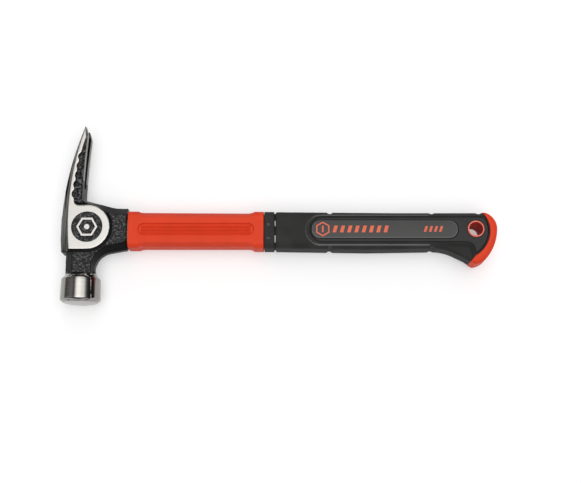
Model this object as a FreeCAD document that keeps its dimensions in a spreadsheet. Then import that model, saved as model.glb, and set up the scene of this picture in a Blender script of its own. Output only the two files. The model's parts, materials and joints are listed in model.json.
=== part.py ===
import FreeCAD, Part
import math
import os
import types

import Sketcher

# A claw hammer that lies on its side. While it is modelled, +X runs along the handle to the butt, +Y to
# the claw and +Z out of the upper cheek, from the middle of the eye on the handle's axis. Each body's
# Placement then puts the origin at the middle of the hammer's footprint, with +Z up. Millimetres.

SIZES = {
    # Head: silhouette of the forged body, which is also its width at the mid-plane
    "crown_low_x": -20.4,
    "crown_low_y": -18.6,
    "crown_high_x": -19.4,
    "crown_high_y": 29.5,
    "crown_bulge": 0.75,         # how far the crown's arc stands out beyond its low corner
    "back_radius": 242.0,
    "shoulder_x": -3.6,
    "shoulder_y": 24.6,
    "slope_x": 14.0,
    "slope_y": 20.2,
    "slope_radius": 40.0,
    "socket_shoulder_x": 24.0,
    "socket_x": 31.2,
    "socket_top": 18.1,
    "socket_low": -15.6,
    "throat_x": 17.0,
    "throat_y": -18.2,
    "throat_radius": 15.5,
    "neck_right": 5.8,
    "throat_end_y": -29.0,
    "neck_left": -17.3,
    "neck_end": -36.5,
    "mid_flat": 6.0,             # thickness of the flat edge between the two bevels
    # Head: the flat facets of the forged body
    "body_thick": 24.6,
    "facet_back": 6.2,           # how far each facet stands in from the silhouette
    "facet_top": 2.6,
    "facet_socket_top": 7.0,
    "facet_socket_low": 4.9,
    "facet_throat": 4.6,
    "facet_neck_right": 1.6,
    "facet_neck_left": 6.8,
    "facet_throat_radius": 20.0,
    # Head: ground lands, one on each cheek
    "land_thick": 27.0,
    "back_flat": 16.0,
    "land_low_x": -13.6,
    "land_low_y": -16.8,
    "land_back_radius": 238.5,
    "disc_x": 0.3,
    "disc_y": 1.0,
    "disc_radius": 17.8,
    "strip_fillet": 4.0,
    "strip_fillet_x": -6.6,
    "strip_low_x": -10.9,
    "strip_low_y": 22.2,
    "strip_radius": 190.0,
    "strip_high_x": -2.9,
    "strip_high_y": 75.5,
    "land_inset": 1.6,           # width of the bevel beside the claw's tip
    # Head: claw
    "tip_x": -4.0,
    "tip_y": 85.3,
    "tip_bevel": 2.0,
    "heel_x": -2.0,              # where the tip's chisel bevel meets the underside
    "heel_y": 78.2,
    "root_x": -4.8,
    "root_y": 29.0,
    "under_radius": 600.0,
    "claw_thick": 22.0,
    "slot_mouth": 9.2,           # the nail slot at its narrowest depth, and how it flares either way
    "slot_end": 5.2,
    "slot_y": 38.0,
    "slot_waist_x": -8.5,
    "slot_back_flare": 2.4,
    "slot_under_flare": 0.8,
    "tip_corner": 2.5,
    "tip_corner_width": 2.0,
    "scallop_first_x": -4.6,
    "scallop_first_y": 58.7,
    "scallop_last_x": -8.6,
    "scallop_last_y": 27.9,
    "scallop_radius": 3.9,
    "ridge_first_y": 58.0,
    "ridge_pitch": 4.1,
    "ridge_radius": 1.1,
    "ridge_sink": 0.5,
    "ridge_start_x": -11.0,
    "ridge_end_x": -6.3,
    # Head: medallion on each cheek
    "medallion_radius": 12.2,
    "medallion_depth": 0.9,
    "hexagon_outer": 8.6,
    "hexagon_inner": 6.4,
    "dot_radius": 2.3,
    # Head: bell and striking face
    "bell_x": -5.0,
    "bell_start": -32.6,
    "bell_back_radius": 11.3,
    "bell_flare_radius": 12.0,
    "bell_shoulder_y": -39.3,
    "bell_shoulder": 15.6,
    "bell_radius": 16.1,
    "bell_rim_y": -54.8,
    "face_radius": 13.7,
    "face_rim_y": -57.8,
    "face_y": -58.5,
    "face_crown_radius": 134.4,
    # Eye, fibreglass core and the epoxy between them
    "eye_high": 23.4,
    "eye_thick": 14.4,
    "eye_corner": 5.2,
    "eye_crown_high": 25.4,
    "eye_crown_thick": 15.4,
    "core_high": 19.6,
    "core_thick": 12.0,
    "core_corner": 4.4,
    "core_start": -20.6,
    "core_end": 295.0,
    "epoxy_start": -21.0,
    # Red jacket round the core
    "jacket_start": 32.2,
    "jacket_end": 140.0,
    "jacket_thick": 22.4,
    "jacket_corner": 5.0,
    "front_cuff_top": 14.8,
    "front_cuff_low": -14.8,
    "rear_cuff_top": 14.6,
    "rear_cuff_low": -15.5,
    "waist_start_x": 40.2,       # the waist between the cuffs, with a slope at each end
    "waist_front_x": 41.8,
    "waist_rear_x": 130.4,
    "waist_end_x": 133.1,
    "waist_top_front": 13.85,
    "waist_top_rear": 13.35,
    "waist_low": -13.9,
    "facet_start_x": 39.4,       # the facet along each corner of the waist runs out to a point
    "facet_front_x": 44.9,
    "facet_rear_x": 127.8,
    "facet_end_x": 132.4,
    "facet_high": 9.6,
    "facet_low": -11.3,
    "facet_edge": 12.0,          # thickness of the flat top and bottom between the facets
    "facet_lift": 1.4,           # how far out a facet's plane has moved where it ends
    "sheath_high": 22.0,
    "sheath_thick": 15.6,
    "sheath_corner": 5.6,
    "flute_start": 40.4,
    "flute_end": 132.0,
    "flute_y": -0.45,
    "flute_half": 4.8,
    "flute_depth": 0.8,
    "rib_half": 0.62,
    "rib_pitch": 2.5,
    # Grip
    "ring_start": 140.4,
    "ring_end": 148.4,
    "ring_top": 14.4,
    "ring_low": -15.5,
    "ring_thick": 24.0,
    "ring_corner": 5.6,
    "spigot_sink": 1.1,
    "grip_start": 149.9,
    "grip_top_front": 14.2,
    "grip_top": 13.35,
    "grip_top_x": 243.0,
    "grip_low_front": -15.5,
    "grip_low": -16.6,
    "grip_low_x": 222.0,
    "flare_start_x": 273.5,
    "flare_start_y": -15.75,
    "flare_radius": 36.0,
    "flare_end_x": 288.5,
    "flare_end_y": -18.3,
    "bend_x": 299.6,
    "bend_y": -23.7,
    "toe_x": 303.2,
    "toe_y": -26.2,
    "toe_tip_x": 306.8,
    "toe_tip_y": -28.2,
    "toe_heel_x": 315.6,
    "toe_heel_y": -24.1,
    "toe_radius": 14.0,
    "butt_x": 325.2,
    "butt_y": 0.5,
    "butt_radius": 37.4,
    "butt_corner": 13.6,
    "butt_corner_x": 316.2,
    "strap_x": 313.2,            # where the butt cap starts on the spine
    "strap_radius": 22.6,
    "strap_low_x": 307.6,
    "strap_low_y": -21.4,
    "cap_start_x": 298.0,
    "grip_thick": 27.0,
    "grip_round": 5.5,
    "cap_round": 4.0,
    "land_step": 0.55,           # how far the grip's raised side stands proud
    "raised_start": 172.6,
    "raised_top": 10.9,
    "raised_low": -14.1,
    "raised_toe_x": 305.6,
    "raised_toe_y": -21.6,
    "raised_butt_x": 314.4,
    "raised_butt_radius": 22.0,
    "panel_start": 176.4,
    "panel_top": 8.9,
    "panel_low": -11.0,
    "panel_gap": 0.3,            # the groove round the panel, and round the label plate in it
    "scoop_turn_x": 300.4,
    "scoop_turn_radius": 6.6,
    "panel_toe_y": -19.6,
    "panel_toe_x": 307.6,
    "panel_butt_radius": 21.4,
    "panel_butt_x": 314.8,
    "panel_depth": 2.8,
    "panel_sink": 0.3,
    "scoop_start_x": 268.0,
    "scoop_floor_x": 289.0,
    "scoop_inset": 1.0,
    "scoop_slope": 2.6,
    "scoop_depth": 2.2,
    "plate_start": 177.9,
    "plate_end": 293.6,
    "plate_top": 6.3,
    "plate_low": -8.1,
    "plate_depth": 1.2,
    "plate_proud": 0.1,
    "notch_radius": 2.0,
    "notch_sink": 0.5,
    # Hang hole
    "hang_x": 307.9,
    "hang_y": -0.7,
    "hang_radius": 5.45,
    "bush_radius": 6.6,
    "bush_thick": 27.0,
}
LAND_MEETING_ANGLE = 101.5   # degrees round a land's disc from +X to where the claw's strip meets it
ROUND_END = 0.9              # corner radius of a nearly round end, as a part of its half width
ALMOST = 0.01                # added to half a width, so that the arc across it is a hair under a half circle
SCALLOPS = 5
RIDGES = 9
SPINE_NOTCHES_X = (192.5, 273.5, 310.8)
BELLY_NOTCHES_X = (192.5, 273.5)

doc = FreeCAD.newDocument("claw_hammer")


class Dim:
    """A length: its value, and the spreadsheet expression that gives it."""

    def __init__(self, value, text):
        self.value = value
        self.text = text

    def __add__(self, other):
        return Dim(self.value + value(other), f"({self.text} + {text(other)})")

    def __sub__(self, other):
        return Dim(self.value - value(other), f"({self.text} - {text(other)})")

    def __mul__(self, other):
        return Dim(self.value * value(other), f"({self.text} * {text(other)})")

    def __truediv__(self, other):
        return Dim(self.value / value(other), f"({self.text} / {text(other)})")

    def __neg__(self):
        return Dim(-self.value, f"(-{self.text})")


def value(dim):
    return dim.value if isinstance(dim, Dim) else dim


def text(dim):
    return dim.text if isinstance(dim, Dim) else str(dim)


def bind(feature, name, dim):
    """Sets a property to a length, and ties it to the sheet."""
    feature.setExpression(name, text(dim))


def make_sheet():
    """Writes SIZES into a spreadsheet and returns them as Dims that point at its cells."""
    sheet = doc.addObject("Spreadsheet::Sheet", "Sizes")
    for row, (name, number) in enumerate(SIZES.items(), start=1):
        sheet.set(f"A{row}", name)
        sheet.set(f"B{row}", str(number))
        sheet.setAlias(f"B{row}", name)
    doc.recompute()
    return types.SimpleNamespace(**{name: Dim(number, "Sizes." + name) for name, number in SIZES.items()})


S = make_sheet()
NOTHING = Dim(0, "0")


# ---- Sketches -------------------------------------------------------------------------------------

def new_body(label):
    body = doc.addObject("PartDesign::Body", label)
    body.Label = label
    return body


def new_sketch(body, name, plane, height=0.0, shift=0.0):
    """A sketch on one of the body's own planes, moved along the plane's normal and its first axis."""
    sketch = body.newObject("Sketcher::SketchObject", name)
    support = [item for item in body.Origin.OriginFeatures if item.Role == plane][0]
    sketch.AttachmentSupport = [(support, "")]
    sketch.MapMode = "FlatFace"
    bind(sketch, "AttachmentOffset.Base.z", height)
    bind(sketch, "AttachmentOffset.Base.x", shift)
    return sketch


def fix(sketch, kind, geometry, point, dim):
    """Dimensions one coordinate of a point from the sketch's origin."""
    row = sketch.addConstraint(Sketcher.Constraint(kind, -1, 1, geometry, point, value(dim)))
    sketch.setExpression(f"Constraints[{row}]", text(dim))


def arc_between(start, end, radius):
    """The shorter arc between two points. A positive radius turns left on the way."""
    chord = end - start
    half = chord.Length / 2
    left = FreeCAD.Vector(-chord.y, chord.x, 0).normalize()
    sagitta = abs(radius) - math.sqrt(radius * radius - half * half)
    middle = (start + end) / 2 - left * math.copysign(sagitta, radius)
    return Part.Arc(start, middle, end)


def add_outline(sketch, corners):
    """A closed outline. Each corner is (x, y) or (x, y, radius of the arc to the next corner)."""
    first = sketch.GeometryCount
    points = [FreeCAD.Vector(value(corner[0]), value(corner[1]), 0) for corner in corners]
    for number, corner in enumerate(corners):
        start = points[number]
        end = points[(number + 1) % len(points)]
        if len(corner) == 3:
            sketch.addGeometry(arc_between(start, end, value(corner[2])), False)
        else:
            sketch.addGeometry(Part.LineSegment(start, end), False)
    # An arc always runs anticlockwise, so one that turns right starts at its second end.
    starts = [2 if len(corner) == 3 and value(corner[2]) < 0 else 1 for corner in corners]
    for number in range(len(corners)):
        following = (number + 1) % len(corners)
        sketch.addConstraint(Sketcher.Constraint(
            "Coincident", first + number, 3 - starts[number], first + following, starts[following]))
    for number, corner in enumerate(corners):
        fix(sketch, "DistanceX", first + number, starts[number], corner[0])
        fix(sketch, "DistanceY", first + number, starts[number], corner[1])
        if len(corner) == 3:
            radius = corner[2] if value(corner[2]) > 0 else -corner[2]
            row = sketch.addConstraint(Sketcher.Constraint("Radius", first + number, value(radius)))
            sketch.setExpression(f"Constraints[{row}]", text(radius))


def add_circle(sketch, x, y, radius):
    centre = FreeCAD.Vector(value(x), value(y), 0)
    geometry = sketch.addGeometry(Part.Circle(centre, FreeCAD.Vector(0, 0, 1), value(radius)), False)
    fix(sketch, "DistanceX", geometry, 3, x)
    fix(sketch, "DistanceY", geometry, 3, y)
    row = sketch.addConstraint(Sketcher.Constraint("Radius", geometry, value(radius)))
    sketch.setExpression(f"Constraints[{row}]", text(radius))


def add_rounded(sketch, left, right, low, high, corner):
    """A rectangle with rounded corners."""
    add_outline(sketch, [
        (left + corner, low), (right - corner, low, corner),
        (right, low + corner), (right, high - corner, corner),
        (right - corner, high), (left + corner, high, corner),
        (left, high - corner), (left, low + corner, corner),
    ])


def add_hexagon(sketch, x, y, radius):
    """A hexagon with two corners on the line through its centre along the first axis."""
    high = radius * math.sqrt(3) / 2
    half = radius / 2
    add_outline(sketch, [
        (x + radius, y), (x + half, y + high), (x - half, y + high),
        (x - radius, y), (x - half, y - high), (x + half, y - high),
    ])


# ---- Features -------------------------------------------------------------------------------------

def both_ways(feature, sketch, length):
    feature.Profile = sketch
    feature.Midplane = True
    bind(feature, "Length", length)
    return feature


def pad_both(body, name, sketch, length):
    return both_ways(body.newObject("PartDesign::Pad", name), sketch, length)


def pad(body, name, sketch, length):
    feature = body.newObject("PartDesign::Pad", name)
    feature.Profile = sketch
    bind(feature, "Length", length)
    return feature


def pocket(body, name, sketch, length, towards_normal=False):
    """Cuts from the sketch against its normal, or along it."""
    feature = body.newObject("PartDesign::Pocket", name)
    feature.Profile = sketch
    feature.Reversed = towards_normal
    bind(feature, "Length", length)
    return feature


def loft(body, name, sketches, cut=False):
    kind = "PartDesign::SubtractiveLoft" if cut else "PartDesign::AdditiveLoft"
    feature = body.newObject(kind, name)
    feature.Profile = sketches[0]
    feature.Sections = sketches[1:]
    feature.Ruled = True
    return feature


def edge_names(shape, wanted):
    """The names of the edges for whose middle point wanted() is true."""
    names = []
    for number, edge in enumerate(shape.Edges, start=1):
        middle = edge.valueAt((edge.FirstParameter + edge.LastParameter) / 2)
        if wanted(middle, edge):
            names.append(f"Edge{number}")
    return names


def fillet(body, name, radius, wanted):
    doc.recompute()
    base = body.Tip
    feature = body.newObject("PartDesign::Fillet", name)
    feature.Base = (base, edge_names(base.Shape, wanted))
    bind(feature, "Radius", radius)
    return feature


# ---- Head -----------------------------------------------------------------------------------------

def body_outline(back, top, socket_top, socket_low, throat, neck_right, neck_left, throat_radius):
    """The forged body's outline, stood in from the silhouette by the given amounts."""
    return [
        (S.neck_left + neck_left, S.neck_end),
        (S.neck_right - neck_right, S.neck_end),
        (S.neck_right - neck_right, S.throat_end_y, -throat_radius),
        (S.throat_x, S.throat_y + throat),
        (S.socket_x, S.socket_low + socket_low),
        (S.socket_x, S.socket_top - socket_top),
        (S.socket_shoulder_x, S.socket_top - socket_top, -S.slope_radius),
        (S.slope_x, S.slope_y - socket_top),
        (S.shoulder_x, S.shoulder_y - top),
        (S.root_x - top, S.root_y),
        (S.crown_high_x + back, S.crown_high_y, S.back_radius),
        (S.crown_low_x + back, S.crown_low_y),
        (S.neck_left + neck_left, S.crown_low_y),
    ]


def land_outline(low_x, low_y, radius, inset):
    """The outline of a cheek's ground land, from the back of the head to the scalloped strip."""
    meeting = math.radians(LAND_MEETING_ANGLE)
    rise = S.disc_y + S.disc_radius * math.sin(meeting)
    return [
        (low_x, low_y),
        (S.disc_x, S.disc_y - S.disc_radius, S.disc_radius),
        (S.disc_x + S.disc_radius, S.disc_y, S.disc_radius),
        (S.disc_x + S.disc_radius * math.cos(meeting), rise),
        (S.strip_fillet_x, rise, -S.strip_fillet),
        (S.strip_low_x, S.strip_low_y, -S.strip_radius),
        (S.strip_high_x, S.strip_high_y),
        (S.tip_x, S.tip_y),
        (S.tip_x - S.land_inset + inset, S.tip_y - S.tip_bevel, radius),
    ]


def make_head():
    head = new_body("hammer_head")
    # Forged body: its silhouette at the mid-plane, bevelled in to a flat facet on each side.
    silhouette = [NOTHING] * 7 + [S.throat_radius]
    facet = [S.facet_back, S.facet_top, S.facet_socket_top, S.facet_socket_low, S.facet_throat,
             S.facet_neck_right, S.facet_neck_left, S.facet_throat_radius]
    sections = []
    for name, height, insets in (("FacetBelow", -S.body_thick / 2, facet),
                                 ("EdgeBelow", -S.mid_flat / 2, silhouette),
                                 ("EdgeAbove", S.mid_flat / 2, silhouette),
                                 ("FacetAbove", S.body_thick / 2, facet)):
        section = new_sketch(head, name, "XY_Plane", height)
        add_outline(section, body_outline(*insets))
        sections.append(section)
    loft(head, "ForgedBody", sections)

    # Claw: its plain web, with the chisel bevel at the tip.
    claw = new_sketch(head, "ClawSide", "XY_Plane")
    add_outline(claw, [
        (S.root_x, S.shoulder_y - 8),
        (S.root_x, S.root_y, -S.under_radius),
        (S.heel_x, S.heel_y),
        (S.tip_x, S.tip_y, S.back_radius),
        (S.crown_high_x + 1, S.crown_high_y),
        (S.crown_high_x + 1, S.shoulder_y - 8),
    ])
    pad_both(head, "ClawWeb", claw, S.claw_thick)

    # Back of the head and ground lands: flat along the back, then bevelled to a land on each cheek.
    sections = []
    for name, height, low_x, low_y, radius, inset in (
            ("LandBelow", -S.land_thick / 2, S.land_low_x, S.land_low_y, S.land_back_radius, S.land_inset),
            ("BackBelow", -S.back_flat / 2, S.crown_low_x, S.crown_low_y, S.back_radius, 0),
            ("BackAbove", S.back_flat / 2, S.crown_low_x, S.crown_low_y, S.back_radius, 0),
            ("LandAbove", S.land_thick / 2, S.land_low_x, S.land_low_y, S.land_back_radius, S.land_inset)):
        section = new_sketch(head, name, "XY_Plane", height)
        add_outline(section, land_outline(low_x, low_y, radius, inset))
        sections.append(section)
    loft(head, "BackAndLands", sections)

    # Bell: turned about an axis parallel to Y.
    bell = new_sketch(head, "BellProfile", "XY_Plane", 0, S.bell_x)
    add_outline(bell, [
        (0, S.bell_start),
        (0, S.face_y, S.face_crown_radius),
        (S.face_radius, S.face_rim_y),
        (S.bell_radius, S.bell_rim_y),
        (S.bell_shoulder, S.bell_shoulder_y, -S.bell_flare_radius),
        (S.bell_back_radius, S.bell_start),
    ])
    turned = head.newObject("PartDesign::Revolution", "Bell")
    turned.Profile = bell
    turned.ReferenceAxis = (bell, ["V_Axis"])
    turned.Angle = 360

    # Eye: a rounded hole right through, wider at the crown, so that the filled handle can't pull out.
    eye_crown = new_sketch(head, "EyeCrown", "YZ_Plane", S.crown_low_x - 2)
    add_rounded(eye_crown, -S.eye_crown_high / 2, S.eye_crown_high / 2,
                -S.eye_crown_thick / 2, S.eye_crown_thick / 2, S.eye_corner)
    eye_socket = new_sketch(head, "EyeSocket", "YZ_Plane", S.socket_x + 1)
    add_rounded(eye_socket, -S.eye_high / 2, S.eye_high / 2,
                -S.eye_thick / 2, S.eye_thick / 2, S.eye_corner)
    loft(head, "Eye", [eye_crown, eye_socket], cut=True)

    # Nail slot between the two claws: narrowest part way through, and flared to the back and underside.
    sections = []
    for name, place, flare in (("SlotBack", S.crown_low_x - 4, S.slot_back_flare),
                               ("SlotWaist", S.slot_waist_x, NOTHING),
                               ("SlotUnder", S.heel_x + 4, S.slot_under_flare)):
        section = new_sketch(head, name, "YZ_Plane", place)
        half_end = S.slot_end / 2 + flare
        half_mouth = S.slot_mouth / 2 + flare
        add_outline(section, [
            (S.slot_y - flare, half_end, half_end + ALMOST),
            (S.slot_y - flare, -half_end),
            (S.tip_y + 1, -half_mouth),
            (S.tip_y + 1, half_mouth),
        ])
        sections.append(section)
    loft(head, "NailSlot", sections, cut=True)

    # Outer corners of the two tips.
    corners = new_sketch(head, "TipCorners", "YZ_Plane")
    outside = S.land_thick / 2 + 1
    for sign in (1, -1):
        add_outline(corners, [
            (S.tip_y - S.tip_corner, outside * sign),
            (S.tip_y + 1, outside * sign),
            (S.tip_y + 1, (outside - 1 - S.tip_corner_width) * sign),
        ])
    both_ways(head.newObject("PartDesign::Pocket", "TipCornerCut"), corners, S.socket_x * 2)

    # Round notches in each land's edge, and the small ridges beside them.
    for side, height, sign in (("Above", S.land_thick / 2, 1), ("Below", -S.land_thick / 2, -1)):
        scallops = new_sketch(head, "Scallops" + side, "XY_Plane", height)
        for number in range(SCALLOPS):
            part_way = number / (SCALLOPS - 1)
            add_circle(scallops,
                       S.scallop_first_x + (S.scallop_last_x - S.scallop_first_x) * part_way,
                       S.scallop_first_y + (S.scallop_last_y - S.scallop_first_y) * part_way,
                       S.scallop_radius)
        pocket(head, "ScallopCut" + side, scallops, (S.land_thick - S.claw_thick) / 2, sign < 0)
    ridges = new_sketch(head, "Ridges", "YZ_Plane", S.ridge_start_x)
    for number in range(RIDGES):
        for sign in (1, -1):
            add_circle(ridges, S.ridge_first_y - S.ridge_pitch * number,
                       (S.claw_thick / 2 - S.ridge_sink) * sign, S.ridge_radius)
    pad(head, "RidgePad", ridges, S.ridge_end_x - S.ridge_start_x)

    # Medallion sunk in each land, with a raised hexagon and dot.
    for side, height, sign in (("Above", S.land_thick / 2, 1), ("Below", -S.land_thick / 2, -1)):
        medallion = new_sketch(head, "Medallion" + side, "XY_Plane", height)
        add_circle(medallion, S.disc_x, S.disc_y, S.medallion_radius)
        add_hexagon(medallion, S.disc_x, S.disc_y, S.hexagon_outer)
        add_hexagon(medallion, S.disc_x, S.disc_y, S.hexagon_inner)
        add_circle(medallion, S.disc_x, S.disc_y, S.dot_radius)
        pocket(head, "MedallionCut" + side, medallion, S.medallion_depth, sign < 0)
    return head


# ---- Handle core and jacket -----------------------------------------------------------------------

def bar(body, name, start, end, high, thick, corner, cut=False, rise=NOTHING):
    """A rounded bar along X, or a hole of that shape. rise is how far it stands above the axis."""
    section = new_sketch(body, name + "Section", "YZ_Plane", start)
    add_rounded(section, rise - high / 2, rise + high / 2, -thick / 2, thick / 2, corner)
    if cut:
        return pocket(body, name, section, end - start, towards_normal=True)
    return pad(body, name, section, end - start)


def make_core():
    core = new_body("handle_core")
    bar(core, "Rod", S.core_start, S.core_end, S.core_high, S.core_thick, S.core_corner)
    return core


def make_epoxy():
    """The filling between the eye and the core, a little short of the eye's own wall."""
    epoxy = new_body("eye_epoxy")
    crown = new_sketch(epoxy, "EyeCrown", "YZ_Plane", S.crown_low_x - 2)
    add_rounded(crown, -S.eye_crown_high / 2, S.eye_crown_high / 2,
                -S.eye_crown_thick / 2, S.eye_crown_thick / 2, S.eye_corner)
    socket = new_sketch(epoxy, "EyeSocket", "YZ_Plane", S.socket_x + 1)
    add_rounded(socket, -S.eye_high / 2, S.eye_high / 2,
                -S.eye_thick / 2, S.eye_thick / 2, S.eye_corner)
    loft(epoxy, "Filling", [crown, socket])
    bar(epoxy, "CrownTrim", S.crown_low_x - 3, S.epoxy_start, S.eye_crown_high * 2,
        S.eye_crown_high * 2, S.eye_corner, cut=True)
    bar(epoxy, "SocketTrim", S.socket_x, S.socket_x + 5, S.eye_crown_high * 2,
        S.eye_crown_high * 2, S.eye_corner, cut=True)
    bar(epoxy, "CoreHole", S.core_start, S.socket_x + 5, S.core_high, S.core_thick, S.core_corner, cut=True)
    return epoxy


def cut_waist(jacket, name, front, rear, front_cuff, rear_cuff):
    """Lowers the jacket's top or bottom between its two cuffs, with a slope at each end."""
    waist = new_sketch(jacket, name, "XY_Plane")
    outside = front_cuff * 2
    add_outline(waist, [
        (S.waist_start_x, front_cuff), (S.waist_front_x, front),
        (S.waist_rear_x, rear), (S.waist_end_x, rear_cuff),
        (S.waist_end_x, outside), (S.waist_start_x, outside),
    ])
    both_ways(jacket.newObject("PartDesign::Pocket", name + "Cut"), waist, S.jacket_thick * 2)


def cut_facet(jacket, name, facet_y, front, rear, sign):
    """Bevels one long corner of the waist. The bevel's ends run out through the cuffs' corners."""
    outward = math.copysign(1, value(facet_y))
    side = S.jacket_thick / 2
    edge = S.facet_edge / 2
    sections = []
    for part, place, waist_y, lift in (("Start", S.facet_start_x, front, S.facet_lift),
                                       ("Front", S.facet_front_x, front, NOTHING),
                                       ("Rear", S.facet_rear_x, rear, NOTHING),
                                       ("End", S.facet_end_x, rear, S.facet_lift)):
        run = (waist_y - facet_y) / 2
        rise = (side - edge) / 2
        section = new_sketch(jacket, name + part, "YZ_Plane", place)
        shift = lift * outward
        add_outline(section, [
            (facet_y - run + shift, (side + rise + lift / 2) * sign),
            (waist_y + run + shift, (edge - rise + lift / 2) * sign),
            (waist_y + run + shift, (side + rise + lift / 2) * sign),
        ])
        sections.append(section)
    loft(jacket, name, sections, cut=True)


def make_jacket():
    jacket = new_body("shaft_jacket")
    side = S.jacket_thick / 2
    front_end = new_sketch(jacket, "FrontEnd", "YZ_Plane", S.jacket_start)
    add_rounded(front_end, S.front_cuff_low, S.front_cuff_top, -side, side, S.jacket_corner)
    rear_end = new_sketch(jacket, "RearEnd", "YZ_Plane", S.jacket_end)
    add_rounded(rear_end, S.rear_cuff_low, S.rear_cuff_top, -side, side, S.jacket_corner)
    loft(jacket, "Sleeve", [front_end, rear_end])
    cut_waist(jacket, "WaistTop", S.waist_top_front, S.waist_top_rear, S.front_cuff_top, S.rear_cuff_top)
    cut_waist(jacket, "WaistLow", S.waist_low, S.waist_low, S.front_cuff_low, S.rear_cuff_low)
    for name, sign in (("Above", 1), ("Below", -1)):
        cut_facet(jacket, "FacetTop" + name, S.facet_high, S.waist_top_front, S.waist_top_rear, sign)
        cut_facet(jacket, "FacetLow" + name, S.facet_low, S.waist_low, S.waist_low, sign)
    bar(jacket, "Sheath", S.jacket_end, S.core_end, S.sheath_high, S.sheath_thick, S.sheath_corner)
    bar(jacket, "CoreHole", S.jacket_start, S.core_end, S.core_high, S.core_thick, S.core_corner, cut=True)
    # A fluted channel along each side, with ribs standing in it.
    for name, height, sign in (("Above", side, 1), ("Below", -side, -1)):
        flute = new_sketch(jacket, "Flute" + name, "XY_Plane", height)
        add_rounded(flute, S.flute_start, S.flute_end, S.flute_y - S.flute_half, S.flute_y + S.flute_half,
                    S.flute_half * ROUND_END)
        for number in (-1, 0, 1):
            middle = S.flute_y + S.rib_pitch * number
            add_rounded(flute, S.flute_start + S.rib_pitch, S.flute_end - S.rib_pitch,
                        middle - S.rib_half, middle + S.rib_half, S.rib_half * ROUND_END)
        pocket(jacket, "FluteCut" + name, flute, S.flute_depth, sign < 0)
    return jacket


# ---- Grip -----------------------------------------------------------------------------------------

def long_edges(thick, low_x, high_x):
    """Picks the edges that run round a slab's two flat sides, between two places along the handle."""
    def wanted(middle, edge):
        on_side = abs(abs(middle.z) - thick.value / 2) < 0.01
        return on_side and low_x < middle.x < high_x
    return wanted


def raised_outline():
    """The part of the grip's side that stands proud: round at the front, and open to the butt cap."""
    end_radius = (S.raised_top - S.raised_low) / 2
    return [
        (S.raised_start + end_radius, S.raised_top, end_radius + ALMOST),
        (S.raised_start + end_radius, S.raised_low),
        (S.scoop_turn_x, S.raised_low),
        (S.raised_toe_x, S.raised_toe_y, S.raised_butt_radius),
        (S.raised_butt_x, S.raised_top),
    ]


def panel_outline(gap):
    """The side panel: round at the front, turned down beside the scoop, and open to the butt cap."""
    end_radius = (S.panel_top - S.panel_low) / 2
    turn = S.scoop_turn_radius - gap
    return [
        (S.panel_start + end_radius, S.panel_top + gap, end_radius + gap + ALMOST),
        (S.panel_start + end_radius, S.panel_low - gap),
        (S.scoop_turn_x, S.panel_low - gap, -turn),
        (S.scoop_turn_x + turn, S.panel_low - S.scoop_turn_radius),
        (S.panel_toe_x - gap, S.panel_toe_y - gap, S.panel_butt_radius + gap),
        (S.panel_butt_x + gap, S.panel_top + gap),
    ]


def scoop_outline(inset, start):
    """The hollow in the belly where the little finger sits, at one depth."""
    turn = S.scoop_turn_radius - inset
    return [
        (start, S.panel_low - inset),
        (start, S.toe_tip_y),
        (S.panel_toe_x - inset, S.toe_tip_y),
        (S.panel_toe_x - inset, S.panel_toe_y),
        (S.scoop_turn_x + turn, S.panel_low - S.scoop_turn_radius, turn),
        (S.scoop_turn_x, S.panel_low - inset),
    ]


def make_front_ring():
    ring = new_body("grip_front_ring")
    bar(ring, "Ring", S.ring_start, S.ring_end, S.ring_top - S.ring_low, S.ring_thick, S.ring_corner,
        rise=(S.ring_top + S.ring_low) / 2)
    bar(ring, "SheathHole", S.ring_start, S.ring_end, S.sheath_high, S.sheath_thick, S.sheath_corner,
        cut=True)
    return ring


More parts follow.
